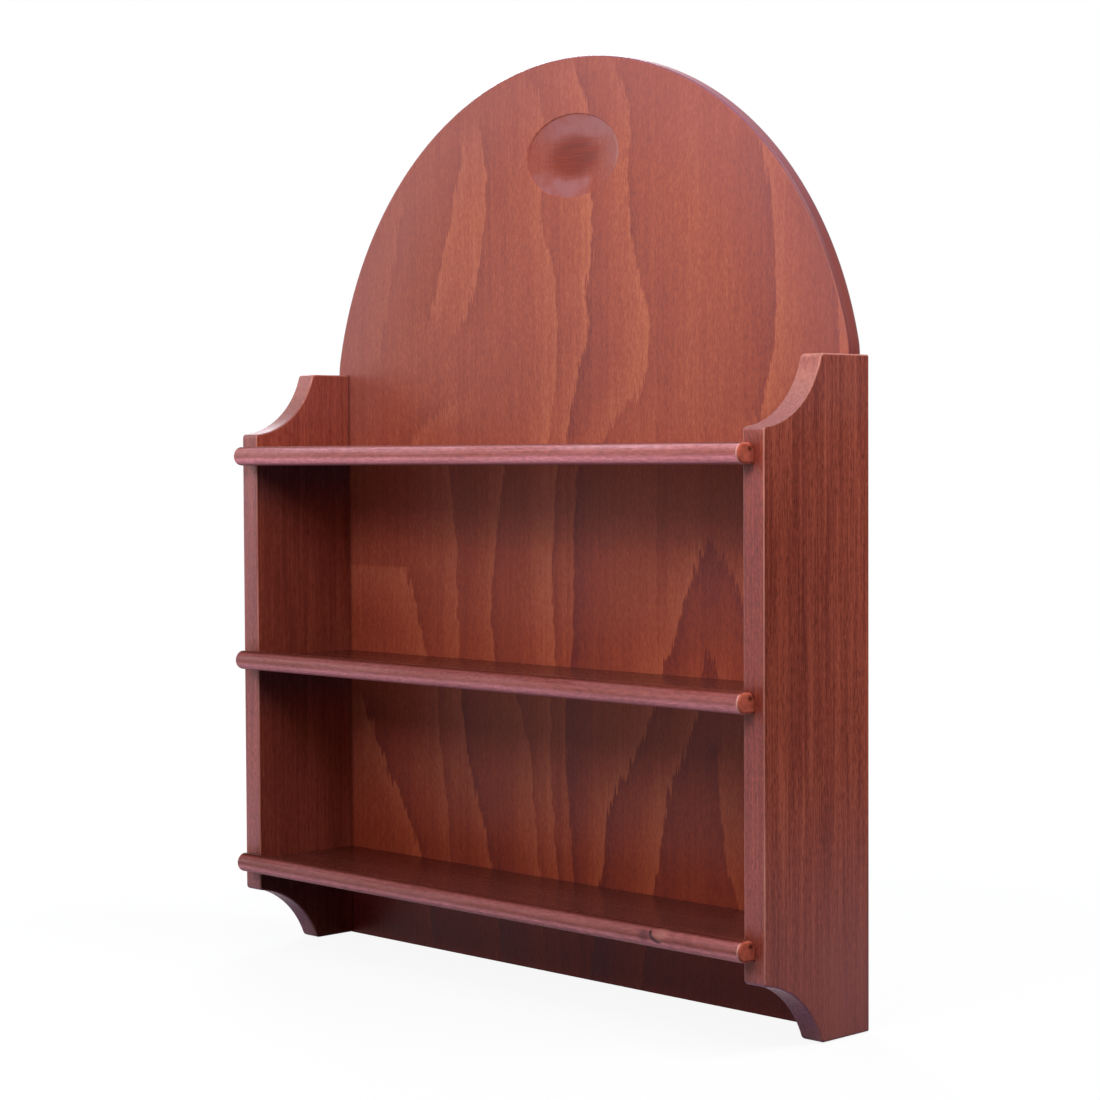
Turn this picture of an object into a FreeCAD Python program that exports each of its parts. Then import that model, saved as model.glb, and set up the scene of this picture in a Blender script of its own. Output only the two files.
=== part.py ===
import FreeCAD, Part
import math
import os

from FreeCAD import Vector

# Trinket shelf for a wall, in millimetres.
# +X is to the viewer's right, +Y points into the wall and +Z is up.
# The origin is on the wall plane, in the middle of the bottom edge.

# Whole object
WIDTH = 360.0
HEIGHT = 450.0

# Side boards
SIDE_HEIGHT = 300.0
SIDE_DEPTH = 70.0
SIDE_THICKNESS = 12.0
SIDE_ARRIS = 1.0
SIDE_CORNER_RADIUS = 2.0
SCOOP_DEPTH = 38.0
TOP_SCOOP_HEIGHT = 31.8
TOP_SCOOP_RADIUS = 42.0
BOTTOM_SCOOP_HEIGHT = 30.0
BOTTOM_SCOOP_RADIUS = 46.0

# Back panel, plywood, with a carved oval dish
PANEL_THICKNESS = 8.0
PANEL_ARRIS = 1.4
REBATE_WIDTH = 8.0
ARCH_RADIUS = 179.0
ARCH_SHOULDER_RADIUS = 30.0
DISH_WIDTH = 64.0
DISH_HEIGHT = 41.0
DISH_DEPTH = 3.0
DISH_OFFSET = 3.0
DISH_CENTRE_HEIGHT = 402.0

# Shelf boards, each with a round nose that stands above its flat top as a lip
SHELF_THICKNESS = 6.4
LIP_HEIGHT = 3.2
FIRST_NOSE_CENTRE = 45.2
SHELF_PITCH = 105.85
SHELF_OVERHANG = 10.6
SHELF_END_ARRIS = 1.5
HOUSING_DEPTH = 6.4

# Panel pins
PIN_LENGTH = 20.0
PIN_RADIUS = 0.7
PIN_HEAD_RADIUS = 1.4
PIN_HEAD_THICKNESS = 0.8
PIN_POINT_LENGTH = 1.8
PIN_SPREAD = 110.0

# Keyhole hanger plates and their screws
PLATE_LENGTH = 46.0
PLATE_WIDTH = 16.0
PLATE_THICKNESS = 1.5
PLATE_OFFSET = 110.0
PLATE_CENTRE_HEIGHT = 365.0
KEYHOLE_RADIUS = 4.5
SLOT_RADIUS = 2.2
SLOT_RISE = 10.0
POCKET_RADIUS = 5.25
POCKET_DEPTH = 5.0
SCREW_SPREAD = 18.0
SCREW_LENGTH = 6.0
SCREW_RADIUS = 1.25
SCREW_HEAD_RADIUS = 2.4
SCREW_HEAD_DEPTH = 1.3
SCREW_POINT_LENGTH = 1.6
SCREW_SLOT_WIDTH = 0.7
SCREW_SLOT_DEPTH = 0.6

# Values that follow from the sizes above
INNER_HALF = WIDTH / 2 - SIDE_THICKNESS
PANEL_HALF = INNER_HALF + REBATE_WIDTH
PANEL_FRONT = -PANEL_THICKNESS
ARCH_CENTRE_HEIGHT = HEIGHT - ARCH_RADIUS
SHELF_HALF_LENGTH = INNER_HALF + HOUSING_DEPTH
SHELF_FRONT = -SIDE_DEPTH - SHELF_OVERHANG
SHELF_NAMES = ("bottom_shelf", "middle_shelf", "top_shelf")
NOSE_CENTRES = [FIRST_NOSE_CENTRE + i * SHELF_PITCH for i in range(len(SHELF_NAMES))]
NOSE_RADIUS = (SHELF_THICKNESS + LIP_HEIGHT) / 2
KEYHOLE_HEIGHT = PLATE_CENTRE_HEIGHT - SLOT_RISE / 2

TOWARDS_FRONT = Vector(0, -1, 0)


def box(low, high):
    """A block between two opposite corners."""
    size = high - low
    return Part.makeBox(size.x, size.y, size.z, low)


def arc_edge(start, end, radius, bulge):
    """An arc from start to end, bulging to the side that the vector points to."""
    half_chord = (end - start).Length / 2
    rise = radius - math.sqrt(radius ** 2 - half_chord ** 2)
    along = (end - start).normalize()
    across = bulge - along * bulge.dot(along)
    middle = (start + end) / 2 + across.normalize() * rise
    return Part.Arc(start, middle, end).toShape()


def outline_face(edges):
    """The flat face inside a closed run of edges."""
    return Part.Face(Part.Wire(edges))


def edges_where(shape, test):
    """The edges whose ends and middle all pass a test."""
    def points(edge):
        middle = edge.valueAt((edge.FirstParameter + edge.LastParameter) / 2)
        return [middle] + [vertex.Point for vertex in edge.Vertexes]
    return [edge for edge in shape.Edges if all(test(point) for point in points(edge))]


def side_blank():
    """The right side board before its joints are cut: scooped top and bottom, arrises eased."""
    x = INNER_HALF
    front = -SIDE_DEPTH
    tip = front + SCOOP_DEPTH
    back_low = Vector(x, 0, 0)
    back_high = Vector(x, 0, SIDE_HEIGHT)
    top_tip = Vector(x, tip, SIDE_HEIGHT)
    top_front = Vector(x, front, SIDE_HEIGHT - TOP_SCOOP_HEIGHT)
    low_front = Vector(x, front, BOTTOM_SCOOP_HEIGHT)
    low_tip = Vector(x, tip, 0)
    board = outline_face([
        Part.makeLine(back_low, back_high),
        Part.makeLine(back_high, top_tip),
        arc_edge(top_tip, top_front, TOP_SCOOP_RADIUS, Vector(0, 1, -1)),
        Part.makeLine(top_front, low_front),
        arc_edge(low_front, low_tip, BOTTOM_SCOOP_RADIUS, Vector(0, 1, 1)),
        Part.makeLine(low_tip, back_low),
    ]).extrude(Vector(SIDE_THICKNESS, 0, 0))
    corners = [
        edge for edge in board.Edges
        if abs(edge.tangentAt(edge.FirstParameter).x) > 0.99 and edge.CenterOfMass.y < -1
    ]
    board = board.makeFillet(SIDE_CORNER_RADIUS, corners)

    def on_outline(plane):
        return edges_where(board, lambda p: abs(p.x - plane) < 1e-4)

    arrises = [
        edge for edge in on_outline(INNER_HALF) + on_outline(WIDTH / 2)
        if edge.CenterOfMass.y < -1e-4
    ]
    return board.makeFillet(SIDE_ARRIS, arrises)


def shelf_top(centre):
    """The height of a shelf's flat top, from the height of its nose's centre."""
    return centre - NOSE_RADIUS + SHELF_THICKNESS


def side_board(pins):
    """The right side board with its rebate, its shelf housings and its pin holes."""
    rebate = box(Vector(INNER_HALF, PANEL_FRONT, 0), Vector(PANEL_HALF, 0, SIDE_HEIGHT))
    housings = [
        box(
            Vector(INNER_HALF, -SIDE_DEPTH, centre - NOSE_RADIUS),
            Vector(SHELF_HALF_LENGTH, PANEL_FRONT, shelf_top(centre)),
        )
        for centre in NOSE_CENTRES
    ]
    return side_blank().cut([rebate] + housings + pins)


def above_shelf(centre):
    """What is taken off over a shelf's flat top, with the round rear of the lip in front of it."""
    length = 2 * SHELF_HALF_LENGTH
    crown = Vector(-SHELF_HALF_LENGTH, -SIDE_DEPTH - LIP_HEIGHT, shelf_top(centre))
    space = box(crown, Vector(SHELF_HALF_LENGTH, PANEL_FRONT, centre + NOSE_RADIUS))
    return space.cut(Part.makeCylinder(LIP_HEIGHT, length, crown, Vector(1, 0, 0)))


def shelf_board(centre, pins):
    """A shelf with a half-round nose, a raised lip behind it and eased ends."""
    x = -SHELF_HALF_LENGTH
    low, high = centre - NOSE_RADIUS, centre + NOSE_RADIUS
    nose = SHELF_FRONT + NOSE_RADIUS
    back_low = Vector(x, PANEL_FRONT, low)
    back_high = Vector(x, PANEL_FRONT, high)
    nose_high = Vector(x, nose, high)
    nose_low = Vector(x, nose, low)
    board = outline_face([
        Part.makeLine(back_low, back_high),
        Part.makeLine(back_high, nose_high),
        Part.Arc(nose_high, Vector(x, SHELF_FRONT, centre), nose_low).toShape(),
        Part.makeLine(nose_low, back_low),
    ]).extrude(Vector(2 * SHELF_HALF_LENGTH, 0, 0))
    ends = edges_where(board, lambda p: abs(abs(p.x) - SHELF_HALF_LENGTH) < 1e-4)
    arrises = [edge for edge in ends if edge.CenterOfMass.y < PANEL_FRONT - 1e-4]
    return board.makeFillet(SHELF_END_ARRIS, arrises).cut([above_shelf(centre)] + pins)


def panel_blank():
    """The plywood sheet: straight edges and a round arch, with its arrises eased."""
    shoulder = ARCH_CENTRE_HEIGHT + math.sqrt(ARCH_RADIUS ** 2 - PANEL_HALF ** 2)
    low_left = Vector(-PANEL_HALF, PANEL_FRONT, 0)
    low_right = Vector(PANEL_HALF, PANEL_FRONT, 0)
    high_right = Vector(PANEL_HALF, PANEL_FRONT, shoulder)
    high_left = Vector(-PANEL_HALF, PANEL_FRONT, shoulder)
    apex = Vector(0, PANEL_FRONT, HEIGHT)
    sheet = outline_face([
        Part.makeLine(low_left, low_right),
        Part.makeLine(low_right, high_right),
        Part.Arc(high_right, apex, high_left).toShape(),
        Part.makeLine(high_left, low_left),
    ]).extrude(Vector(0, PANEL_THICKNESS, 0))
    shoulders = edges_where(sheet, lambda p: abs(p.z - shoulder) < 1e-4)
    sheet = sheet.makeFillet(ARCH_SHOULDER_RADIUS, shoulders)
    rims = edges_where(sheet, lambda p: abs(p.y - PANEL_FRONT) < 1e-4)
    rims += edges_where(sheet, lambda p: abs(p.y) < 1e-4)
    arrises = [edge for edge in rims if edge.CenterOfMass.z > 1e-4]
    return sheet.makeFillet(PANEL_ARRIS, arrises)


def dish():
    """The hollow of the oval dish: a flattened ball that reaches into the panel's face."""
    half = DISH_WIDTH / 2
    ball_radius = (half ** 2 + DISH_DEPTH ** 2) / (2 * DISH_DEPTH)
    flatten = FreeCAD.Matrix()
    flatten.scale(1, 1, DISH_HEIGHT / DISH_WIDTH)
    ball = Part.makeSphere(ball_radius).transformGeometry(flatten)
    deepest = PANEL_FRONT + DISH_DEPTH
    ball.translate(Vector(DISH_OFFSET, deepest - ball_radius, DISH_CENTRE_HEIGHT))
    return ball


def panel_pin(x, z):
    """A pin driven from the back, with its flat head flush with the wall plane."""
    shank_start = Vector(x, -PIN_HEAD_THICKNESS, z)
    shank_length = PIN_LENGTH - PIN_HEAD_THICKNESS - PIN_POINT_LENGTH
    point_start = shank_start + TOWARDS_FRONT * shank_length
    head = Part.makeCylinder(PIN_HEAD_RADIUS, PIN_HEAD_THICKNESS, Vector(x, 0, z), TOWARDS_FRONT)
    shank = Part.makeCylinder(PIN_RADIUS, shank_length, shank_start, TOWARDS_FRONT)
    point = Part.makeCone(PIN_RADIUS, PIN_RADIUS / 5, PIN_POINT_LENGTH, point_start, TOWARDS_FRONT)
    return head.fuse([shank, point]).removeSplitter()


def upright_slot(x, low, high, radius, depth):
    """A round-ended upright slot that reaches from the wall plane into the panel."""
    low_end = Part.makeCylinder(radius, depth, Vector(x, 0, low), TOWARDS_FRONT)
    high_end = Part.makeCylinder(radius, depth, Vector(x, 0, high), TOWARDS_FRONT)
    middle = box(Vector(x - radius, -depth, low), Vector(x + radius, 0, high))
    return middle.fuse([low_end, high_end]).removeSplitter()


def plate_blank(x):
    """The round-ended outline of a hanger plate, also the recess that it lies in."""
    end_radius = PLATE_WIDTH / 2
    reach = PLATE_LENGTH / 2 - end_radius
    low, high = PLATE_CENTRE_HEIGHT - reach, PLATE_CENTRE_HEIGHT + reach
    return upright_slot(x, low, high, end_radius, PLATE_THICKNESS)


def screw_heights():
    """The heights of the two screws in a hanger plate."""
    return (PLATE_CENTRE_HEIGHT - SCREW_SPREAD, PLATE_CENTRE_HEIGHT + SCREW_SPREAD)


def screw_body(x, z):
    """A countersunk screw without its driving slot."""
    start = Vector(x, 0, z)
    shank_length = SCREW_LENGTH - SCREW_HEAD_DEPTH - SCREW_POINT_LENGTH
    shank_start = start + TOWARDS_FRONT * SCREW_HEAD_DEPTH
    point_start = shank_start + TOWARDS_FRONT * shank_length
    head = Part.makeCone(SCREW_HEAD_RADIUS, SCREW_RADIUS, SCREW_HEAD_DEPTH, start, TOWARDS_FRONT)
    shank = Part.makeCylinder(SCREW_RADIUS, shank_length, shank_start, TOWARDS_FRONT)
    point = Part.makeCone(SCREW_RADIUS, SCREW_RADIUS / 5, SCREW_POINT_LENGTH, point_start, TOWARDS_FRONT)
    return head.fuse([shank, point]).removeSplitter()


def screw(x, z):
    """A countersunk screw with a straight driving slot."""
    slot = box(
        Vector(x - SCREW_HEAD_RADIUS, -SCREW_SLOT_DEPTH, z - SCREW_SLOT_WIDTH / 2),
        Vector(x + SCREW_HEAD_RADIUS, 0, z + SCREW_SLOT_WIDTH / 2),
    )
    return screw_body(x, z).cut(slot)


def hanger_plate(x):
    """A steel plate with a keyhole and two countersunk holes."""
    entry = Part.makeCylinder(KEYHOLE_RADIUS, PLATE_THICKNESS, Vector(x, 0, KEYHOLE_HEIGHT), TOWARDS_FRONT)
    slot = upright_slot(x, KEYHOLE_HEIGHT, KEYHOLE_HEIGHT + SLOT_RISE, SLOT_RADIUS, PLATE_THICKNESS)
    screws = [screw_body(x, z) for z in screw_heights()]
    return plate_blank(x).cut([entry, slot] + screws)


def hanger_recess(x):
    """What is taken out of the panel for one hanger plate, its screws and the wall screw's head."""
    pocket = upright_slot(x, KEYHOLE_HEIGHT, KEYHOLE_HEIGHT + SLOT_RISE, POCKET_RADIUS, POCKET_DEPTH)
    screws = [screw_body(x, z) for z in screw_heights()]
    return plate_blank(x).fuse([pocket] + screws)


def back_panel(pins):
    """The panel with its dish, its hanger recesses and its pin holes."""
    recesses = [hanger_recess(hand * PLATE_OFFSET) for hand in (-1, 1)]
    return panel_blank().cut([dish()] + recesses + pins)


def side_pins(hand):
    """The pins into one side, each midway between two shelves or a shelf and an end."""
    levels = [0.0] + NOSE_CENTRES + [SIDE_HEIGHT]
    x = hand * (INNER_HALF + PANEL_HALF) / 2
    return [panel_pin(x, (low + high) / 2) for low, high in zip(levels, levels[1:])]


def shelf_pins(centre):
    """The pins into the middle of the rear edge of one shelf."""
    height = shelf_top(centre) - SHELF_THICKNESS / 2
    return [panel_pin(x, height) for x in (-PIN_SPREAD, 0.0, PIN_SPREAD)]


def mirrored(shape):
    """The same shape on the other side of the middle plane."""
    return shape.mirror(Vector(0, 0, 0), Vector(1, 0, 0))


def only_solid(shape):
    """The single solid of a finished piece."""
    if len(shape.Solids) != 1:
        raise ValueError("a piece is not one solid")
    return shape.Solids[0]


def build_nodes():
    """All pieces of the shelf, by name."""
    left_pins = side_pins(-1)
    right_pins = side_pins(1)
    pins_by_shelf = [shelf_pins(centre) for centre in NOSE_CENTRES]
    all_pins = left_pins + right_pins + [pin for pins in pins_by_shelf for pin in pins]
    right_side = only_solid(side_board(right_pins))
    nodes = {
        "back_panel": only_solid(back_panel(all_pins)),
        "left_side": mirrored(right_side),
        "right_side": right_side,
        "left_side_pins": Part.makeCompound(left_pins),
        "right_side_pins": Part.makeCompound(right_pins),
    }
    for name, centre, pins in zip(SHELF_NAMES, NOSE_CENTRES, pins_by_shelf):
        nodes[name] = only_solid(shelf_board(centre, pins))
        nodes[name + "_pins"] = Part.makeCompound(pins)
    for hand_name, hand in (("left", -1), ("right", 1)):
        x = hand * PLATE_OFFSET
        nodes[hand_name + "_hanger_plate"] = only_solid(hanger_plate(x))
        nodes[hand_name + "_hanger_screws"] = Part.makeCompound([screw(x, z) for z in screw_heights()])
    return nodes


os.makedirs("parts", exist_ok=True)
for node_name, node_shape in build_nodes().items():
    node_shape.exportStep(os.path.join("parts", node_name + ".step"))
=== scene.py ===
import math

import bmesh
import bpy
from mathutils import Matrix, Vector


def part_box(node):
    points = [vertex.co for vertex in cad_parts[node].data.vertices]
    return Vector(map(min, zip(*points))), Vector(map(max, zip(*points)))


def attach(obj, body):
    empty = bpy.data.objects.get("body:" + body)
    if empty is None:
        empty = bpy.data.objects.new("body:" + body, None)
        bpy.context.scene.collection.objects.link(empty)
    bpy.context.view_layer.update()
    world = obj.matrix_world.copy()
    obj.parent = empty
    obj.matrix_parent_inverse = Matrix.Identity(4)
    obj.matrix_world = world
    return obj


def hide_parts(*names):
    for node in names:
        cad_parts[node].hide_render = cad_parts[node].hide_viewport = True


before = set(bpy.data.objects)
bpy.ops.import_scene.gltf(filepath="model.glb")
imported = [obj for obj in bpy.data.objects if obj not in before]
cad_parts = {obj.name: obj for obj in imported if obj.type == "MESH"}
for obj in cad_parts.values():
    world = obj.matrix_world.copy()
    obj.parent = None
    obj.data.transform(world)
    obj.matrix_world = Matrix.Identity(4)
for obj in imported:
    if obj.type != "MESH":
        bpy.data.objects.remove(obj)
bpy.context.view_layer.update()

bl_info = {
    "name": "Trinket Shelf",
    "version": (1, 0, 0),
    "blender": (4, 5, 0),
    "location": "View3D > Sidebar > Trinket Shelf",
    "description": "Models a red-stained wall shelf with an arched plywood back and three bullnosed boards",
    "category": "Object",
}

# Lengths are in metres; MM writes a size in millimetres.
MM = 0.001

# Boxes of the pieces in the frame
PANEL_LOW, PANEL_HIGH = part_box("back_panel")
SIDE_LOW, SIDE_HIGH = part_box("right_side")
SHELF_NODES = ("top_shelf", "middle_shelf", "bottom_shelf")
SHELF_BOXES = {name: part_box(name) for name in SHELF_NODES}
PIN_NODES = ("left_side_pins", "right_side_pins") + tuple(name + "_pins" for name in SHELF_NODES)
PLATE_NODES = ("left_hanger_plate", "right_hanger_plate")
SCREW_NODES = ("left_hanger_screws", "right_hanger_screws")

# What each shelf's colour is multiplied by: its own tone on the board, painted sheen and light on the upper
# half of its front, painted light from below on the lower half of its front, and painted shade on its flat
# top
SHELF_TONES_AND_PAINTED_LIGHT = {
    "top_shelf": (1.1, (1.36, 2.3, 2.8), 1.12, (0.40, 0.38, 0.38)),
    "middle_shelf": (0.93, (0.92, 1.02, 1.08), 1.0, (0.55, 0.54, 0.50)),
    "bottom_shelf": (0.9, (1.08, 1.20, 1.25), 1.3, (0.42, 0.40, 0.38)),
}

# Smooth shading, and the number of steps in round outlines and edges
SMOOTH_ANGLE = math.radians(35)
ARRIS_SEGMENTS = 4
SHOULDER_SEGMENTS = 4
CORNER_SEGMENTS = 5
SLOT_SEGMENTS = 12
ARCH_STEPS = 64
SCOOP_STEPS = 24
DISH_STEPS = 16
DISH_TURN_STEPS = 128
LIP_STEPS = 8
NOSE_STEPS = 10
PIN_SEAT_SIDES = 40

# Lengths that agree to within this are the same
SAME = 1e-5


def length(name, description, default):
    """A length that a user may change."""
    return bpy.props.FloatProperty(
        name=name, description=description, default=default, min=0.0, unit="LENGTH", subtype="DISTANCE",
    )


def colour(name, description, default):
    """A colour that a user may change."""
    return bpy.props.FloatVectorProperty(
        name=name, description=description, default=default, size=3, min=0.0, max=1.0, subtype="COLOR",
    )


class ShelfSizes(bpy.types.PropertyGroup):
    """Sizes of the shelf that its boxes in the frame do not give."""

    arch_radius: length("Arch radius", "Radius of the panel's round top", 179 * MM)
    shoulder_ease: length("Shoulder ease", "Rounding where the arch meets the straight edge", 2.75 * MM)
    panel_arris: length("Panel arris", "Rounding of the panel's edges", 1.4 * MM)
    dish_width: length("Dish width", "Width of the carved oval dish", 64 * MM)
    dish_height: length("Dish height", "Height of the carved oval dish", 41 * MM)
    dish_depth: length("Dish depth", "Depth of the carved oval dish", 3 * MM)
    dish_lip_depth: length("Dish lip depth", "Depth of the steep lip round the dish", 0.7 * MM)
    dish_lip_width: length("Dish lip width", "Width of the steep lip round the dish", 0.8 * MM)
    dish_offset: length("Dish offset", "How far right of the middle the dish lies", 3 * MM)
    dish_level: length("Dish level", "Height of the middle of the dish", 402 * MM)
    scoop_depth: length("Scoop depth", "How far back the scooped corners reach", 38 * MM)
    top_scoop_height: length("Top scoop height", "Height of the upper scooped corner", 31.8 * MM)
    top_scoop_radius: length("Top scoop radius", "Radius of the upper scooped corner", 42 * MM)
    bottom_scoop_height: length("Bottom scoop height", "Height of the lower scooped corner", 30 * MM)
    bottom_scoop_radius: length("Bottom scoop radius", "Radius of the lower scooped corner", 46 * MM)
    side_corner: length("Side corner", "Rounding of the tips beside the scoops", 1.8 * MM)
    side_arris: length("Side arris", "Rounding of the side boards' edges", 1 * MM)
    shelf_thickness: length("Shelf thickness", "Thickness of a shelf behind its raised lip", 6.4 * MM)
    shelf_end_arris: length("Shelf end arris", "Rounding of the shelves' ends", 1.5 * MM)
    pocket_radius: length("Pocket radius", "Half width of the pocket behind a hanger's keyhole", 5.25 * MM)
    pocket_depth: length("Pocket depth", "Depth of the pocket behind a hanger's keyhole", 5 * MM)
    pocket_rise: length("Pocket rise", "How far the keyhole's slot rises", 10 * MM)
    pin_seat_radius: length("Pin seat radius", "Radius of the seat of a pin's head", 1.45 * MM)
    pin_seat_depth: length("Pin seat depth", "Depth of the seat of a pin's head", 0.85 * MM)


class ShelfFinish(bpy.types.PropertyGroup):
    """Colours of the stain, of the painted sheen, highlights and light on the wood, and of the steel
    fittings.
    """

    panel_dark: colour("Panel dark", "Stain on the dark side of a growth ring", (0.190, 0.036, 0.032))
    panel_mid: colour("Panel middle", "Stain on the plain veneer", (0.345, 0.074, 0.042))
    panel_light: colour("Panel light", "Stain on the light side of a growth ring", (0.50, 0.140, 0.073))
    side_dark: colour("Side dark", "Stain in the dark grain of the sides", (0.140, 0.024, 0.015))
    side_mid: colour("Side middle", "Stain on the plain grain of the sides", (0.265, 0.052, 0.033))
    side_light: colour("Side light", "Stain on the light grain of the sides", (0.415, 0.098, 0.056))
    shelf_dark: colour("Shelf dark", "Stain in the dark grain of the shelves", (0.150, 0.025, 0.017))
    shelf_mid: colour("Shelf middle", "Stain on the plain grain of the shelves", (0.265, 0.052, 0.038))
    shelf_light: colour("Shelf light", "Stain on the light grain of the shelves", (0.380, 0.080, 0.054))
    # Painted light from below on the lower half of the round fronts
    underside: colour("Shelf underside", "Thin stain on the round fronts' lower half", (0.74, 0.265, 0.300))
    end_grain: colour("End grain", "Stain on the shelves' ends", (0.486, 0.105, 0.066))
    # Painted sheen over the stain on the scooped corners, with a painted highlight at the top of the upper
    # scoops
    scoop: colour("Scoop", "Thin hazy stain on the scooped corners", (0.248, 0.100, 0.096))
    scoop_tip: colour("Scoop tip", "Thin stain at the top of the upper scoops", (0.380, 0.150, 0.124))
    # Painted reflection of the floor on the faces under the lower scoops
    low_scoop: colour("Low scoop", "Dull stain under the lower scooped corners", (0.450, 0.170, 0.240))
    worn: colour("Worn edge", "Thin stain along the eased edges", (0.60, 0.250, 0.195))
    # Painted highlight along the rim of the shelves' ends
    rim: colour("End rim", "Thin stain on the rim of the shelves' ends", (0.64, 0.30, 0.26))
    core: colour("Plywood core", "Stain on the cross-grained core", (0.205, 0.026, 0.011))
    edge: colour("Panel edge", "Stain on the edge of the arch", (0.170, 0.040, 0.037))
    # Painted sheen on the arch's edge near its top
    high_edge: colour("High edge", "Hazy stain on the edge near the top of the arch", (0.240, 0.105, 0.130))
    # Painted sheen, a greyish reflection mixed into the stain in the dish, along the arch's rim, on the sides
    # and on the round fronts
    painted_sheen: colour("Lacquer haze", "Greyish lacquer that lies thick in places", (0.335, 0.120, 0.124))
    zinc: colour("Zinc", "Plating of the hangers and pins", (0.56, 0.57, 0.58))
    screw_zinc: colour("Screw zinc", "Yellowish plating of the hangers' screws", (0.36, 0.29, 0.16))


def sizes():
    """The size settings of the scene."""
    return bpy.context.scene.trinket_shelf_sizes


def finish():
    """The colour settings of the scene."""
    return bpy.context.scene.trinket_shelf_finish


def shelf_top(node):
    """The height of a shelf's flat top, behind its lip."""
    return SHELF_BOXES[node][0].z + sizes().shelf_thickness


# Modelling helpers

def only_select(piece):
    """Selects one object alone and makes it active."""
    bpy.ops.object.select_all(action="DESELECT")
    piece.select_set(True)
    bpy.context.view_layer.objects.active = piece


def fresh_primitive(name, add, **settings):
    """Adds one primitive with nothing else selected, and moves its place into its mesh."""
    bpy.ops.object.select_all(action="DESELECT")
    add(**settings)
    piece = bpy.context.active_object
    piece.name = name
    piece.data.name = name
    bpy.ops.object.transform_apply(location=True, rotation=True, scale=True)
    return piece


def block(name, low, high):
    """A box between two opposite corners."""
    return fresh_primitive(
        name, bpy.ops.mesh.primitive_cube_add,
        size=1.0, location=(low + high) / 2, scale=high - low,
    )


def edit_on():
    """Enters edit mode on the active object."""
    bpy.ops.object.mode_set(mode="EDIT")


def edit_off():
    """Leaves edit mode."""
    bpy.ops.object.mode_set(mode="OBJECT")


def pick(piece, kind, test):
    """In edit mode, selects only the vertices, edges or faces that pass a test."""
    bpy.ops.mesh.select_mode(type=kind)
    bpy.ops.mesh.select_all(action="DESELECT")
    mesh = bmesh.from_edit_mesh(piece.data)
    parts = {"VERT": mesh.verts, "EDGE": mesh.edges, "FACE": mesh.faces}[kind]
    chosen = [part for part in parts if test(part)]
    for part in chosen:
        part.select_set(True)
    mesh.select_flush_mode()
    bmesh.update_edit_mesh(piece.data)
    if not chosen:
        raise RuntimeError("nothing to select on " + piece.name)


def ends_pass(edge, test):
    """Whether both ends of an edge pass a test on their place."""
    return all(test(vertex.co) for vertex in edge.verts)


def near(value, target):
    """Whether two lengths agree."""
    return abs(value - target) < SAME


def face_outwards():
    """In edit mode, merges doubles and turns all faces outwards."""
    bpy.ops.mesh.select_all(action="SELECT")
    bpy.ops.mesh.remove_doubles(threshold=1e-6)
    bpy.ops.mesh.normals_make_consistent(inside=False)


def round_edges(width, segments):
    """Rounds the selected edges."""
    bpy.ops.mesh.bevel(offset=width, segments=segments, profile=0.5, affect="EDGES")


def start_outline(name, corner):
    """Leaves edit mode open on one vertex, from which an outline is drawn."""
    piece = fresh_primitive(name, bpy.ops.mesh.primitive_plane_add, size=10 * MM, location=corner)
    edit_on()
    bpy.ops.mesh.select_mode(type="VERT")
    bpy.ops.mesh.select_all(action="SELECT")
    bpy.ops.mesh.merge(type="CENTER")
    return piece


def draw_line(piece, end):
    """Draws a straight run from the selected vertex to a point."""
    step = end - selected_point(piece)
    bpy.ops.mesh.extrude_vertices_move(TRANSFORM_OT_translate={"value": step})


def draw_arc(piece, end, centre, axis, steps):
    """Draws an arc from the selected vertex to a point, the short way round a centre."""
    start = selected_point(piece)
    out, back = start - centre, end - centre
    turn = out.angle(back)
    hand = 1.0 if out.cross(back).dot(axis) < 0 else -1.0
    bpy.ops.mesh.spin(steps=steps, angle=hand * turn, center=centre, axis=axis)
    if (selected_point(piece) - end).length > 1e-4:
        raise RuntimeError("an arc missed its end on " + piece.name)


def selected_point(piece):
    """The place of the one selected vertex."""
    mesh = bmesh.from_edit_mesh(piece.data)
    return next(vertex.co.copy() for vertex in mesh.verts if vertex.select)


def close_outline():
    """Fills the drawn outline."""
    bpy.ops.mesh.select_all(action="SELECT")
    bpy.ops.mesh.edge_face_add()


def thicken(step):
    """Pulls the filled outline into a solid."""
    bpy.ops.mesh.select_mode(type="FACE")
    bpy.ops.mesh.select_all(action="SELECT")
    bpy.ops.mesh.extrude_region_move(TRANSFORM_OT_translate={"value": step})
    face_outwards()


def arc_centre(start, end, radius, bulge):
    """The centre of the arc from start to end that bulges to the side the vector points to."""
    half = (end - start).length / 2
    along = (end - start).normalized()
    across = (bulge - along * bulge.dot(along)).normalized()
    return (start + end) / 2 - across * math.sqrt(radius ** 2 - half ** 2)


def cut_out(piece, cutter):
    """Takes the cutter's shape out of a piece, then removes the cutter."""
    only_select(piece)
    bpy.ops.object.modifier_add(type="BOOLEAN")
    modifier = piece.modifiers[-1]
    modifier.operation = "DIFFERENCE"
    modifier.solver = "EXACT"
    modifier.object = cutter
    bpy.ops.object.modifier_apply(modifier=modifier.name)
    bpy.data.objects.remove(cutter)


def complete(piece, material, node):
    """Shades a finished piece, gives it its material and puts it in its node's place."""
    only_select(piece)
    bpy.ops.object.shade_smooth_by_angle(angle=SMOOTH_ANGLE)
    bpy.ops.object.modifier_add(type="WEIGHTED_NORMAL")
    modifier = piece.modifiers[-1]
    modifier.keep_sharp = True
    bpy.ops.object.modifier_apply(modifier=modifier.name)
    piece.data.materials.clear()
    piece.data.materials.append(material)
    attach(piece, "root")
    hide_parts(node)


# Shader values

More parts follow.
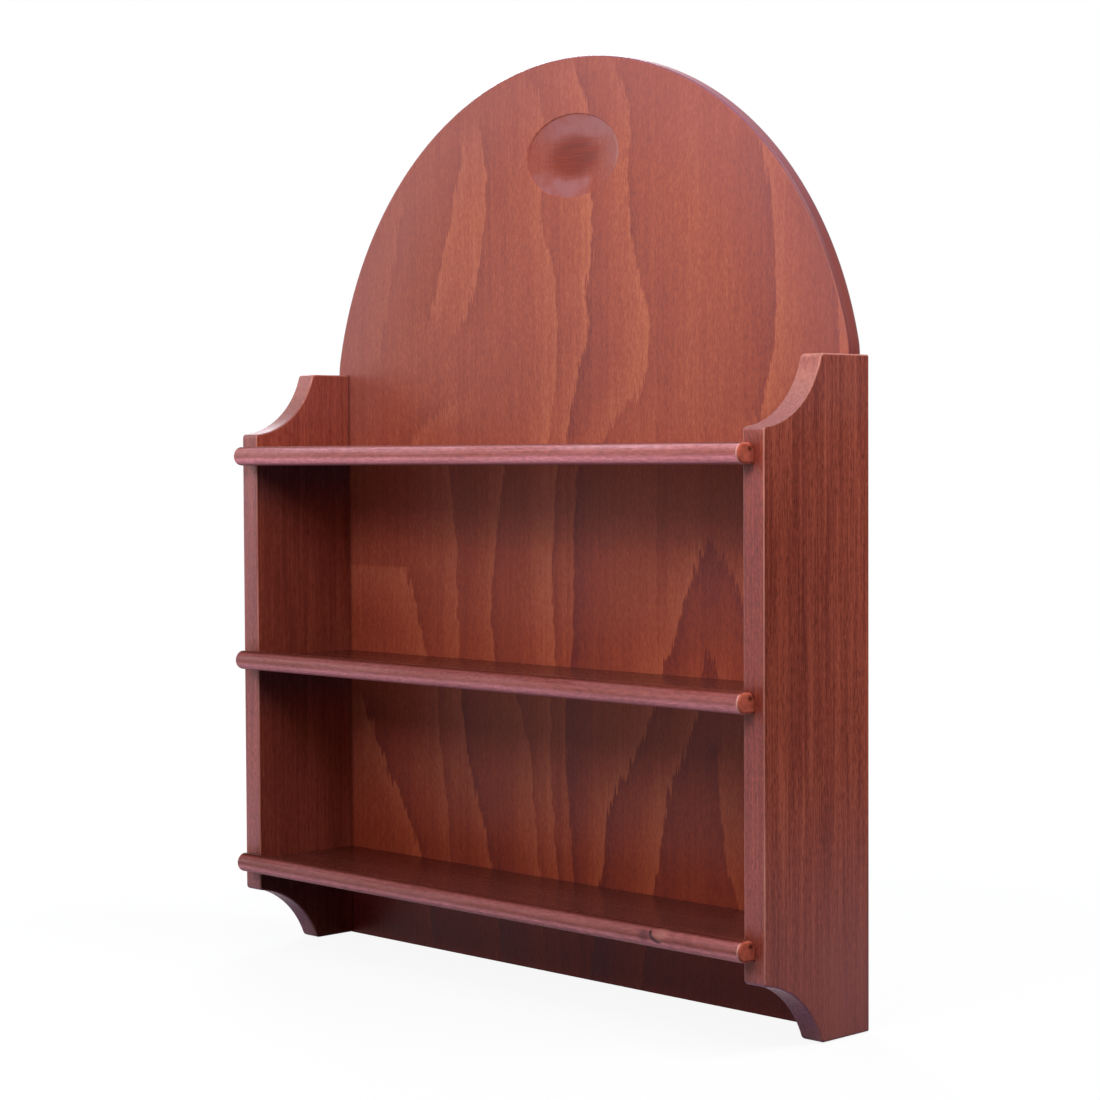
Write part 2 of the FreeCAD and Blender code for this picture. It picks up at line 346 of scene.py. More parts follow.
class Signal:
    """A value or a colour in a shader; plain arithmetic on it adds nodes to its tree."""

    def __init__(self, socket):
        self.socket = socket

    def __add__(self, other):
        return arith("ADD", self, other)

    def __sub__(self, other):
        return arith("SUBTRACT", self, other)

    def __rsub__(self, other):
        return arith("SUBTRACT", other, self)

    def __mul__(self, other):
        return arith("MULTIPLY", self, other)

    def __truediv__(self, other):
        return arith("DIVIDE", self, other)

    def __lt__(self, other):
        return arith("LESS_THAN", self, other)

    def __gt__(self, other):
        return arith("GREATER_THAN", self, other)

    def __abs__(self):
        return arith("ABSOLUTE", self)

    def clamped(self):
        """The same value, held between nought and one."""
        self.socket.node.use_clamp = True
        return self

    __radd__ = __add__
    __rmul__ = __mul__


def add_node(tree, kind, inputs, **settings):
    """Adds a node; an input is a plain value, or a signal that is linked to it."""
    node = tree.nodes.new(kind)
    for key, value in settings.items():
        setattr(node, key, value)
    for key, value in inputs.items():
        if isinstance(value, Signal):
            tree.links.new(value.socket, node.inputs[key])
        else:
            node.inputs[key].default_value = value
    return node


def feed(kind, inputs, output=0, tree=None, **settings):
    """An output of a new node, which goes into the tree of its input signals unless a tree is named."""
    if tree is None:
        tree = next(value.socket.id_data for value in inputs.values() if isinstance(value, Signal))
    return Signal(add_node(tree, kind, inputs, **settings).outputs[output])


def show(shader, kind="ShaderNodeOutputMaterial"):
    """Links a shader to the output of its tree."""
    add_node(shader.socket.id_data, kind, {"Surface": shader})


def arith(operation, *values):
    """One step of arithmetic on signals and numbers."""
    return feed("ShaderNodeMath", dict(enumerate(values)), operation=operation)


def largest(first, *others):
    """The largest of some values."""
    for other in others:
        first = arith("MAXIMUM", first, other)
    return first


def split(vector):
    """The X, Y and Z of a vector."""
    parts = feed("ShaderNodeSeparateXYZ", {0: vector}).socket.node.outputs
    return [Signal(part) for part in parts]


def noise(point, per_metre, detail=3.0, roughness=0.5):
    """Noise with its own number of waves per metre along X, Y and Z."""
    place = feed("ShaderNodeVectorMath", {0: point, 1: per_metre}, operation="MULTIPLY")
    inputs = {"Vector": place, "Scale": 1.0, "Detail": detail, "Roughness": roughness}
    return feed("ShaderNodeTexNoise", inputs)


def remap(value, low, high, to_low=0.0, to_high=1.0):
    """A smooth step from one range to another."""
    inputs = {"Value": value, "From Min": low, "From Max": high, "To Min": to_low, "To Max": to_high}
    return feed("ShaderNodeMapRange", inputs, interpolation_type="SMOOTHSTEP")


def float_curve(value, points, handles="AUTO"):
    """A curve from 0..1 to 0..1 through a few points."""
    curved = feed("ShaderNodeFloatCurve", {"Value": value})
    mapping = curved.socket.node.mapping
    curve = mapping.curves[0]
    ordered = sorted(points)
    while len(curve.points) < len(ordered):
        curve.points.new(0.5, 0.5)
    for point, place in zip(curve.points, ordered):
        point.location = place
        point.handle_type = handles
    mapping.extend = "HORIZONTAL"
    mapping.update()
    return curved


def ramp(value, stops):
    """A colour ramp through (place, colour) stops."""
    tint = feed("ShaderNodeValToRGB", {"Fac": value})
    elements = tint.socket.node.color_ramp.elements
    while len(elements) < len(stops):
        elements.new(0.5)
    for element, (place, stop) in zip(elements, stops):
        element.position = place
        element.color = (*stop, 1.0)
    return tint


def mix(factor, first, second, mode="MIX"):
    """A mix of two colours, each a signal or a plain colour."""
    first, second = [tint if isinstance(tint, Signal) else (*tint, 1.0) for tint in (first, second)]
    inputs = {0: factor, 6: first, 7: second}
    return feed("ShaderNodeMix", inputs, output=2, data_type="RGBA", blend_type=mode)


def shaded(factor, tint, shade):
    """A tint multiplied by a shade, as far as the factor says."""
    return mix(factor, tint, shade, "MULTIPLY")


def weighted_sum(base, terms):
    """A base value plus each noise, centred on nought and weighted."""
    for value, weight in terms:
        base = (value - 0.5) * weight + base
    return base


def facing(normal, axis, low, high):
    """How far a surface faces along an axis, either way: nought below one limit, one above the other."""
    return remap(abs(split(normal)[axis]), low, high)


def eased_edge(normal):
    """One on rounded edges, where the surface faces along no axis, and nought on flat faces."""
    return remap(largest(*[abs(part) for part in split(normal)]), 0.985, 0.85)


def underneath(normal):
    """Nought on surfaces that face up or level, rising to one on those that face down."""
    return remap(split(normal)[2], -0.1, -0.6)


def oval(first, second, middle, reach):
    """How far out a point lies in an oval with a middle and half sizes: one at its edge."""
    u = (first - middle[0]) / reach[0]
    v = (second - middle[1]) / reach[1]
    return arith("SQRT", u * u + v * v)


def new_material(name):
    """A new material, and the place and the normal of a point in the object's own frame."""
    material = bpy.data.materials.new(name)
    material.use_nodes = True
    tree = material.node_tree
    tree.nodes.clear()
    coords = add_node(tree, "ShaderNodeTexCoord", {}).outputs
    return material, Signal(coords["Object"]), Signal(coords["Normal"])


def satin_shader(tint, roughness, height, specular, coat):
    """Stained wood under satin lacquer."""
    bump = feed("ShaderNodeBump", {"Strength": 0.35, "Distance": 0.15 * MM, "Height": height})
    show(feed("ShaderNodeBsdfPrincipled", {
        "Base Color": tint, "Roughness": roughness, "Normal": bump,
        "Specular IOR Level": specular, "Coat Weight": coat, "Coat Roughness": 0.3,
    }))


# Figure of the panel's face veneer. Each growth-ring edge has the side that is light (1 left, -1 right),
# a strength, and points (height, distance right of the middle) in millimetres.
RING_EDGES = (
    (1, 0.35, ((392, -122), (360, -129), (330, -137), (308, -142))),
    (1, 0.70, ((420, -63), (400, -58), (383, -59), (350, -64), (335, -70), (322, -78))),
    (-1, 0.70, ((412, -76), (400, -79), (367, -88), (345, -96), (330, -101))),
    (1, 0.55, ((443, -31), (427, -18), (400, -17), (373, -19), (340, -9), (307, -8), (262, -14))),
    (1, 0.95, ((443, 6), (423, 14), (380, 16), (357, 17), (340, 12), (317, 14), (293, 6), (262, -2))),
    (1, 0.70, ((445, 30), (423, 41), (377, 41), (350, 46), (320, 54), (293, 51), (277, 37), (262, 20))),
    (-1, 0.95, ((400, 122), (393, 126), (363, 132), (303, 132), (275, 124))),
    (-1, 0.90, ((376, 149), (350, 163), (333, 168), (290, 170))),
    (-1, 0.60, ((262, -118), (277, -96), (283, -78))),
    (1, 0.55, ((196, -124), (192, -119), (167, -111), (148, -104))),
    (1, 0.50, ((252, -88), (217, -83), (190, -82), (148, -81))),
    (1, 0.65, ((252, -46), (223, -51), (183, -56), (148, -53))),
    (1, 0.75, ((252, -8), (217, -11), (197, -12), (148, -9))),
    (1, 0.75, ((252, 6), (217, 3), (190, 3), (148, 1))),
    (1, 0.90, ((213, 90), (197, 81), (173, 71), (150, 61))),
    (-1, 0.60, ((213, 94), (207, 104), (193, 112), (172, 118))),
    (1, 0.55, ((164, 91), (158, 89), (148, 86))),
    (-1, 0.55, ((164, 93), (158, 96), (148, 100))),
    (1, 0.80, ((126, -158), (93, -139), (67, -121), (40, -110), (0, -102))),
    (1, 0.50, ((145, -98), (105, -95), (75, -91), (40, -86))),
    (1, 0.80, ((140, -80), (100, -74), (70, -63), (40, -56), (0, -50))),
    (1, 0.55, ((140, -40), (110, -29), (83, -26), (40, -21), (0, -18))),
    (1, 0.60, ((146, -13), (97, -13), (40, -9), (0, -6))),
    (1, 0.65, ((146, -2), (107, -3), (83, -1), (40, 3), (0, 8))),
    (1, 1.00, ((142, 59), (118, 48), (107, 42), (87, 27), (70, 24), (40, 20), (0, 12))),
    (1, 0.90, ((142, 87), (112, 75), (97, 67), (83, 64), (40, 55), (0, 47))),
    (-1, 0.60, ((120, 97), (95, 99), (73, 102), (40, 113))),
)

# Tone across one ring edge, from the light side to the dark: (place, tone), with the edge at 0.5
RING_TONES = (
    (0.0, 0.50), (0.22, 0.56), (0.44, 0.74), (0.494, 0.88), (0.512, 0.20), (0.60, 0.33), (1.0, 0.50),
)
RING_REACH = 30 * MM
RING_FADE = 3 * MM


def ring_figure(point):
    """The sum of all ring edges, feathered along the fibres: above nought is light, below is dark."""
    x, _, z = split(point)
    height, half = PANEL_HIGH.z, PANEL_HIGH.x
    felt_z = weighted_sum(z, (
        (noise(point, (1400, 0, 22), 2.0), 18 * MM),
        (noise(point, (380, 0, 16), 2.0), 26 * MM),
    ))
    felt_x = weighted_sum(x, (
        (noise(point, (40, 0, 55), 3.0), 5 * MM),
        (noise(point, (420, 0, 110), 2.0), 4.5 * MM),
    ))
    level = felt_z / height
    across = felt_x * (0.5 / half) + 0.5
    fade = RING_FADE / height
    total = 0.0
    for side, strength, points in RING_EDGES:
        curve = [(z_mm * MM / height, 0.5 + 0.5 * x_mm * MM / half) for z_mm, x_mm in points]
        apart = across - float_curve(level, curve)
        spot = (apart * (side * half / RING_REACH) + 0.5).clamped()
        tone = float_curve(spot, RING_TONES, handles="VECTOR")
        low, high = min(curve)[0], max(curve)[0]
        ends = [(max(low - fade, 0.0), 0.0), (max(low, fade), strength), (high, strength), (high + fade, 0.0)]
        window = float_curve(level, ends, handles="VECTOR")
        total = (tone - 0.5) * window + total
    return total


def ring_top(x, z):
    """The level upper end of the light growth ring at the left of the upper bay."""
    edge = remap(z, 199.5 * MM, 197.5 * MM) * remap(z, 165 * MM, 197 * MM)
    return edge * remap(x, -118 * MM, -124 * MM)


def dish_place(x, z):
    """Where a point lies across and up the dish, from -1 to 1 inside it."""
    size = sizes()
    return (x - size.dish_offset) / (size.dish_width / 2), (z - size.dish_level) / (size.dish_height / 2)


def dish_square(x, z):
    """The square of how far out a point lies in the dish's oval: one at its edge."""
    right, up = dish_place(x, z)
    return right * right + up * up


def dish_hollow(x, y, z):
    """One on the carved surface of the dish, nought elsewhere."""
    in_front = y < PANEL_LOW.y + sizes().dish_depth + 0.5 * MM
    deep = remap(y, PANEL_LOW.y + 0.2 * MM, PANEL_LOW.y + 0.6 * MM)
    return (dish_square(x, z) < 1.0) * in_front * deep


def dish_sheen(x, z):
    """The painted sheen in the dish: its upper slope, and the left part of its lower slope."""
    right, up = dish_place(x, z)
    upper = remap(up, 0.05, 0.60) * remap(right, -1.05, -0.15)
    lower = remap(up, -0.20, -0.60) * remap(right, 0.40, 0.24)
    rightmost = remap(right, 0.50, 1.0, 0.0, 0.4)
    return largest(upper, lower, rightmost) * 0.72


def rim_sheen(x, z):
    """The painted sheen along the rim of the arch."""
    radius = sizes().arch_radius
    above = z - (PANEL_HIGH.z - radius)
    from_middle = arith("SQRT", x * x + above * above)
    rim = remap(from_middle, radius - 60 * MM, radius, 0.0, 0.30)
    return rim * remap(above, -25 * MM, 15 * MM)


# Depths in the plywood where its core begins and ends and where its front half begins, each with a soft edge
CORE_FRONT = (-6.1 * MM, -5.2 * MM)
CORE_BACK = (-2.3 * MM, -2.5 * MM)
FRONT_HALF = (-4 * MM, -6 * MM)

# Shades that multiply the panel's stain: in the dish, painted red bounce light in the bays and above two of
# the shelves, a painted purple shade below the lowest shelf and darker corners beside the sides; then those
# of the arch's edge, on the core and painted shade on its arrises
DISH_SHADE = (0.86, 0.78, 0.80)
PAINTED_BAY_BOUNCE = (1.07, 0.95, 0.96)
PAINTED_BOUNCE_ABOVE = {"middle_shelf": (0.95, 0.86, 0.76), "bottom_shelf": (0.86, 0.69, 0.55)}
PAINTED_BOUNCE_REACH = 55 * MM
PAINTED_SHADE_BELOW = (1.0, 0.74, 1.05)
CORNER_SHADE = (0.45, 0.40, 0.42)
CORNER_REACH = 2.5 * MM
EDGE_CORE_SHADE = (1.15, 0.90, 0.80)
PAINTED_ARRIS_SHADE = (0.75, 0.66, 0.80)


def bay_painted_light(tint, bays, in_front, x, z):
    """The panel's stain with painted red bounce light between the shelves, painted shade below them and
    darker corners.
    """
    tint = shaded(bays, tint, PAINTED_BAY_BOUNCE)
    for node, shade in PAINTED_BOUNCE_ABOVE.items():
        top = shelf_top(node)
        above = remap(z, top + PAINTED_BOUNCE_REACH, top) * (z > top)
        tint = shaded(above * in_front, tint, shade)
    low, high = SHELF_BOXES["bottom_shelf"]
    tint = shaded(remap(z, high.z, low.z) * in_front, tint, PAINTED_SHADE_BELOW)
    corner = remap(abs(x), SIDE_LOW.x - CORNER_REACH, SIDE_LOW.x) * (z < SIDE_HIGH.z)
    return shaded(corner * in_front, tint, CORNER_SHADE)


def arch_edge(tint, in_core, normal, x, z):
    """The panel's stain with that of the arch's edge, which is hazy near the top."""
    tints = finish()
    on_edge = ((dish_square(x, z) > 1.1) - facing(normal, 1, 0.75, 0.985)).clamped()
    # Painted sheen on the edge near the top of the arch
    edge = mix(remap(z, 340 * MM, 430 * MM), tints.edge, tints.high_edge)
    edge = shaded(in_core, edge, EDGE_CORE_SHADE)
    # Painted shade on the arch's eased arrises
    edge = shaded(eased_edge(normal), edge, PAINTED_ARRIS_SHADE)
    return mix(on_edge * 0.9, tint, edge)


def panel_material():
    """Red-stained plywood: figured face veneer, cross-grained core, satin lacquer."""
    tints = finish()
    material, point, normal = new_material("stained plywood")
    x, y, z = split(point)
    streaks = noise(point, (480, 60, 14), 4.0, 0.6)
    fibres = noise(point, (1400, 300, 400), 3.0, 0.65)
    pores = remap(noise(point, (1900, 400, 330), 2.0, 0.5), 0.58, 0.72)
    clouds = noise(point, (14, 10, 9), 3.0)
    hollow = dish_hollow(x, y, z)
    in_front = remap(y, *FRONT_HALF)
    top_low, top_high = SHELF_BOXES["top_shelf"]
    bays = remap(z, top_high.z + 12 * MM, top_low.z) * in_front
    rings = ring_figure(point) * (hollow * -0.75 + 1.0) * (bays * 0.48 + 0.96)
    rings = ring_top(x, z) * 0.24 + rings
    tone = weighted_sum(0.5, ((streaks, 0.45), (fibres, 1.10), (clouds, 0.30)))
    tone = pores * -0.16 + (tone + rings)
    face = ramp(tone, ((0.0, tints.panel_dark), (0.5, tints.panel_mid), (1.0, tints.panel_light)))

    core_streaks = noise(point, (40, 500, 900), 4.0, 0.6)
    core = Vector(tints.core)
    core_tint = ramp(core_streaks, ((0.3, core * 0.75), (0.7, core * 1.5)))
    ragged = (core_streaks - 0.5) * (1.2 * MM) + y
    in_core = remap(ragged, *CORE_FRONT) * remap(ragged, *CORE_BACK)
    tint = shaded(hollow, mix(in_core, face, core_tint), DISH_SHADE)
    blotches = noise(point, (110, 60, 130), 3.0, 0.6)
    # Painted sheen in the dish and along the rim of the arch
    painted_sheen = dish_sheen(x, z) * (1.0 - in_core) * remap(blotches, 0.35, 0.62, 0.45, 1.15)
    tint = mix(painted_sheen * hollow, tint, tints.painted_sheen)
    tint = mix(rim_sheen(x, z), tint, tints.painted_sheen)
    # Painted red bounce light in the bays and painted shade below the lowest shelf
    tint = bay_painted_light(tint, bays, in_front, x, z)
    tint = mix(eased_edge(normal) * remap(streaks, 0.35, 0.75, 0.0, 0.2), tint, tints.worn)
    tint = arch_edge(tint, in_core, normal, x, z)
    roughness = weighted_sum(0.40, ((clouds, 0.10), (fibres, 0.16)))
    grain = weighted_sum(0.5, ((fibres, 0.6), (streaks, 0.4), (pores, -0.5)))
    satin_shader(tint, roughness, grain, specular=0.13, coat=0.05)
    return material


def straight_grain(point, along, across, tones, contrast):
    """Tint, roughness, height and flames of straight-grained wood: bands, flames, streaks, fibres and pores.

    along and across are unit vectors: the way the grain runs, and the ways it does not."""

    def waves(broad, lengthways):
        return along * lengthways + across * broad

    bands = noise(point, waves(70, 3.0), 3.0)
    streaks = noise(point, waves(1300, 12), 4.0, 0.65)
    flames = noise(point, waves(430, 14), 3.0, 0.6)
    fibres = noise(point, waves(1800, 240), 3.0, 0.65)
    pores = remap(noise(point, waves(1400, 210), 2.0, 0.5), 0.56, 0.68)
    parts = ((bands, 0.70), (flames, 0.95), (streaks, 0.95), (fibres, 1.35))
    tone = weighted_sum(0.5 + 0.03 * contrast, [(part, weight * contrast) for part, weight in parts])
    tone = pores * (-0.26 * contrast) + tone
    tint = ramp(tone, tuple(zip((0.1, 0.5, 0.9), tones)))
    roughness = weighted_sum(0.40, ((bands, 0.08), (fibres, 0.18)))
    height = weighted_sum(0.5, ((fibres, 0.6), (streaks, 0.5), (pores, -0.6)))
    return tint, roughness, height, flames


def specked(tint, factor, point, per_metre):
    """A tint with fine light and dark specks, as on an edge where the stain took unevenly."""
    specks = noise(point, per_metre, 4.0, 0.7)
    return shaded(factor, tint, remap(specks, 0.3, 0.7, 0.84, 1.25))


# Shades that multiply the sides' stain: half way up the outer faces, near their front, a painted shadow on
# the inner faces under a shelf, on the edges, on the edges at the height of each shelf, and a painted bluish
# sheen on the left side's edges
HALFWAY_SHADE = (0.92, 0.85, 0.82)
NEAR_FRONT_SHADE = (0.82, 0.76, 0.74)
UNDER_SHELF_PAINTED_SHADOW = (0.45, 0.72, 1.15)
PAINTED_SHADOW_REACH = 32 * MM
EDGE_SHADE = (1.14, 0.98, 1.01)
SHELF_LEVEL_EDGE_SHADE = (0.80, 0.60, 0.44)
LEFT_EDGE_PAINTED_SHEEN = (1.08, 1.22, 1.42)
HALFWAY = 185 * MM


def painted_shadow_under_shelves(x, z):
    """One on the inner faces of the sides right under a shelf, where a shadow is painted, nought elsewhere.
    """
    total = 0.0
    for low, _ in SHELF_BOXES.values():
        total = remap(z, low.z - PAINTED_SHADOW_REACH, low.z) * (z < low.z) + total
    return total * (abs(x) < SIDE_LOW.x + 0.5 * MM)


def beside_shelves(point, z):
    """One at the height of each shelf and fading unevenly above and below, nought elsewhere."""
    uneven = noise(point, (250, 250, 120), 3.0)
    felt_z = (uneven - 0.5) * (16 * MM) + z
    total = 0.0
    for low, high in SHELF_BOXES.values():
        total = remap(abs(felt_z - (low.z + high.z) / 2), 12 * MM, 5 * MM) + total
    return total


def side_material():
    """Red-stained sides: upright grain, nearly dull faces, polished edges with a thin worn line."""
    tints = finish()
    material, point, normal = new_material("stained side wood")
    tones = (tints.side_dark, tints.side_mid, tints.side_light)
    upright, level = Vector((0, 0, 1)), Vector((1, 1, 0))
    tint, roughness, height, flames = straight_grain(point, upright, level, tones, 1.25)
    x, y, z = split(point)
    outer = abs(x) > SIDE_LOW.x + 0.5 * MM
    tint = mix(outer * -0.45 + 0.45, tint, tints.side_mid)
    # Painted reflection of the floor low on the outer faces, and painted sheen near the top
    low = remap(z, 130 * MM, 0.0, 0.0, 0.42) * outer * remap(y, -45 * MM, -15 * MM, 1.0, 1.4)
    high = remap(z, 262 * MM, 285 * MM, 0.0, 0.12)
    tint = mix(largest(low, high), tint, tints.painted_sheen)
    halfway = remap(abs(z - HALFWAY), 100 * MM, 30 * MM) * outer
    tint = shaded(halfway, tint, HALFWAY_SHADE)
    tint = shaded(halfway * remap(y, -40 * MM, -60 * MM), tint, NEAR_FRONT_SHADE)
    # Painted shadow right under each shelf on the inner faces
    tint = shaded(painted_shadow_under_shelves(x, z), tint, UNDER_SHELF_PAINTED_SHADOW)
    edges = 1.0 - facing(normal, 0, 0.55, 0.95)
    tint = shaded(edges, tint, EDGE_SHADE)
    # Painted sheen on the edges
    tint = mix(edges * 0.25, tint, tints.painted_sheen)
    # Darker and redder on the edges at the height of each shelf
    tint = shaded(edges * beside_shelves(point, z), tint, SHELF_LEVEL_EDGE_SHADE)
    # Painted bluish sheen on the left side's edges
    tint = shaded(edges * (x < 0.0), tint, LEFT_EDGE_PAINTED_SHEEN)
    # Painted sheen on the scoops, with a painted highlight at the top of the upper ones
    scooped = facing(normal, 2, 0.15, 0.6)
    scoop_tint = mix(remap(z, 270 * MM, 298 * MM), tints.scoop, tints.scoop_tip)
    tint = mix(scooped, tint, scoop_tint)
    # Painted reflection of the floor on faces that look down
    below = underneath(normal)
    tint = mix(below, tint, tints.low_scoop)
    tint = specked(tint, edges, point, (900, 900, 450))
    wear_and_highlight = eased_edge(normal) * remap(flames, 0.35, 0.7, 0.30, 0.90)
    tint = mix(wear_and_highlight * (1.0 - scooped), tint, tints.worn)
    gloss = edges * (scooped * -0.85 + 1.0)
    dull = below * -0.6 + 1.0
    satin_shader(tint, roughness, height, specular=(gloss * 0.20 + 0.05) * dull, coat=gloss * 0.06 * dull)
    return material


# Shades that multiply the shelves' stain: painted shade and reflection at the rear of their tops, on the
# knot's smudge and line, and a painted shadow in the crevice at the upper rear of their ends; and how far
# right of the middle the knot lies
REAR_PAINTED_SHADE = (0.78, 0.56, 0.44)
SMUDGE_SHADE = (0.45, 0.40, 0.55)
LINE_SHADE = (0.16, 0.16, 0.24)
CREVICE_PAINTED_SHADOW = (0.25, 0.20, 0.22)
KNOTTED_NODE = "bottom_shelf"
KNOT_PLACE = 128 * MM


def knot(point, level):
    """A small knot on the front of a shelf: its dark hooked line, the smudge beside it and a pale patch."""
    x, y, z = split(point)
    on_front = remap(y, -74 * MM, -76 * MM)
    ring = oval(x, z, (KNOT_PLACE, level + 3.5 * MM), (5.6 * MM, 4.8 * MM))
    hook = remap(abs(ring - 1.0), 0.22, 0.05) * remap(x, KNOT_PLACE + 3 * MM, KNOT_PLACE - 1 * MM)
    hook = hook * remap(z, level + 4 * MM, level + 2.5 * MM)
    beside = oval(x, z, (KNOT_PLACE - 9 * MM, level + 0.5 * MM), (5 * MM, 4 * MM))
    around = oval(x, z, (KNOT_PLACE + 1 * MM, level + 2 * MM), (5.5 * MM, 3.2 * MM))
    smudge = remap(beside, 1.0, 0.2, 0.0, 0.95)
    pale = remap(around, 1.0, 0.2, 0.0, 0.35)
    return [part * on_front for part in (hook, smudge, pale)]


def crevice_shadow_spot(point, high):
    """The painted shadow of the crevice at the upper rear of each end of a shelf, beside the side board."""
    x, y, z = split(point)
    spot = oval(y, z, (SIDE_LOW.y - 2.6 * MM, high.z - 2.9 * MM), (2.2 * MM, 1.7 * MM))
    return remap(spot, 1.1, 0.1) * (abs(x) > high.x - 1 * MM)


def shelf_material(node, seed):
    """Red-stained shelf: lengthwise grain, polished round front, red end grain."""
    tints = finish()
    low, high = SHELF_BOXES[node]
    shade, upper, lower, top = SHELF_TONES_AND_PAINTED_LIGHT[node]
    material, place, normal = new_material("stained " + node.replace("_", " "))
    point = feed("ShaderNodeVectorMath", {0: place, 1: seed}, operation="ADD")
    tones = [Vector(tint) * shade for tint in (tints.shelf_dark, tints.shelf_mid, tints.shelf_light)]
    lengthwise, crosswise = Vector((1, 0, 0)), Vector((0, 1, 1))
    tint, roughness, height, flames = straight_grain(point, lengthwise, crosswise, tones, 0.75)
    up = split(normal)[2]
    flat = facing(normal, 2, 0.70, 0.97)
    round_part = 1.0 - flat
    # Painted sheen on the round front
    tint = mix(remap(flames, 0.3, 0.65, 0.15, 0.5) * round_part, tint, tints.painted_sheen)
    # Painted sheen and light on the upper half of the front
    tint = shaded(remap(up, 0.2, 0.7), tint, upper)
    # Painted light from below on the lower half of the front
    below = remap(up, 0.0, -0.5) * remap(flames, 0.3, 0.65, 0.75, 1.0)
    tint = mix(below, tint, Vector(tints.underside) * lower)
    # Painted shade on the flat top
    tint = shaded(flat, tint, top)
    # Painted shade and red reflection of the panel towards the rear of the flat top
    tint = shaded(flat * remap(split(place)[1], -50 * MM, -15 * MM), tint, REAR_PAINTED_SHADE)
    tint = specked(tint, round_part, point, (240, 900, 900))
    if node == KNOTTED_NODE:
        line, smudge, pale = knot(place, (low.z + high.z) / 2)
        tint = mix(pale, tint, tints.worn)
        tint = shaded(smudge, tint, SMUDGE_SHADE)
        tint = shaded(line, tint, LINE_SHADE)
    ends = facing(normal, 0, 0.45, 0.75)
    end_tint = ramp(flames, ((0.3, Vector(tints.end_grain) * 0.7), (0.6, tints.end_grain)))
    tint = mix(ends, tint, end_tint)
    # Painted shadow in the crevice at the upper rear of each end
    tint = shaded(crevice_shadow_spot(place, high), tint, CREVICE_PAINTED_SHADOW)
    # Painted highlight along the rim of the ends, where they meet the round front
    wear_and_highlight = facing(normal, 0, 0.1, 0.35) * remap(flames, 0.35, 0.7, 0.7, 1.0)
    tint = mix(wear_and_highlight * (1.0 - ends) * facing(normal, 1, 0.3, 0.7), tint, tints.rim)
    gloss = (remap(up, 0.6, 0.2) - ends).clamped()
    polished = remap(up, 0.985, 0.999)
    level = 1.0 - underneath(normal) * 0.8
    specular = polished * 0.40 + gloss * 0.24 * level
    roughness = polished * -0.14 + (gloss * 0.15 + roughness)
    height = height * (polished * -0.8 + 1.0)
    satin_shader(tint, roughness, height, specular, coat=gloss * 0.06 * level)
    return material


def zinc_material(name, plating, per_metre):
    """Zinc-plated steel with a drawn grain, dull spots and fine scratches."""
    material, point, _ = new_material(name)
    drawn = noise(point, per_metre, 3.0, 0.6)
    spots = noise(point, (260, 260, 260), 4.0, 0.6)
    zinc = Vector(plating)
    tint = ramp(spots, ((0.3, zinc * 0.62), (0.5, zinc), (0.75, zinc * 1.15)))
    roughness = weighted_sum(0.38, ((drawn, 0.25), (spots, 0.35)))
    bump = feed("ShaderNodeBump", {"Strength": 0.2, "Distance": 0.05 * MM, "Height": drawn})
    show(feed("ShaderNodeBsdfPrincipled", {
        "Base Color": tint, "Metallic": 1.0, "Roughness": roughness, "Normal": bump,
    }))
    return material


# Pieces

def arched_sheet():
    """The plywood sheet: straight edges, round arch, eased arrises."""
    size = sizes()
    half, front, height = PANEL_HIGH.x, PANEL_LOW.y, PANEL_HIGH.z
    centre = Vector((0, front, height - size.arch_radius))
    shoulder = centre.z + math.sqrt(size.arch_radius ** 2 - half ** 2)
    low_left = Vector((-half, front, 0))
    low_right = Vector((half, front, 0))
    shoulder_right = Vector((half, front, shoulder))
    apex = Vector((0, front, height))
    shoulder_left = Vector((-half, front, shoulder))
    sheet = start_outline("arched_back_panel", low_left)
    draw_line(sheet, low_right)
    draw_line(sheet, shoulder_right)
    draw_arc(sheet, apex, centre, Vector((0, 1, 0)), ARCH_STEPS)
    draw_arc(sheet, shoulder_left, centre, Vector((0, 1, 0)), ARCH_STEPS)
    close_outline()
    pick(sheet, "VERT", lambda v: near(v.co.z, shoulder))
    bpy.ops.mesh.bevel(affect="VERTICES", offset=size.shoulder_ease, segments=SHOULDER_SEGMENTS)
    thicken(Vector((0, PANEL_HIGH.y - front, 0)))
    flat = (front, PANEL_HIGH.y)
    pick(sheet, "EDGE", lambda e: any(ends_pass(e, lambda p: near(p.y, plane)) for plane in flat)
         and not ends_pass(e, lambda p: near(p.z, 0)))
    round_edges(size.panel_arris, ARRIS_SEGMENTS)
    face_outwards()
    edit_off()
    return sheet


def dish_cutter():
    """A shallow cap spun about the dish's middle and flattened to an oval, closed in front of the panel."""
    size = sizes()
    half, depth, front = size.dish_width / 2, size.dish_depth, PANEL_LOW.y
    middle = Vector((size.dish_offset, front, size.dish_level))
    deepest = middle + Vector((0, depth, 0))
    lip = middle + Vector((half - size.dish_lip_width, size.dish_lip_depth, 0))
    reach, rise = lip.x - middle.x, deepest.y - lip.y
    ball = (reach ** 2 + rise ** 2) / (2 * rise)
    rim = middle + Vector((half, 0, 0))
    lid = Vector((0, -depth, 0))
    cap = start_outline("dish_cutter", deepest)
    draw_arc(cap, lip, deepest - Vector((0, ball, 0)), Vector((0, 0, 1)), DISH_STEPS)
    draw_line(cap, rim)
    draw_line(cap, rim + lid)
    draw_line(cap, middle + lid)
    bpy.ops.mesh.select_all(action="SELECT")
    bpy.ops.mesh.spin(steps=DISH_TURN_STEPS, angle=math.tau, center=middle, axis=(0, 1, 0))
    face_outwards()
    bpy.ops.transform.resize(value=(1, 1, size.dish_height / size.dish_width), center_override=middle)
    edit_off()
    return cap


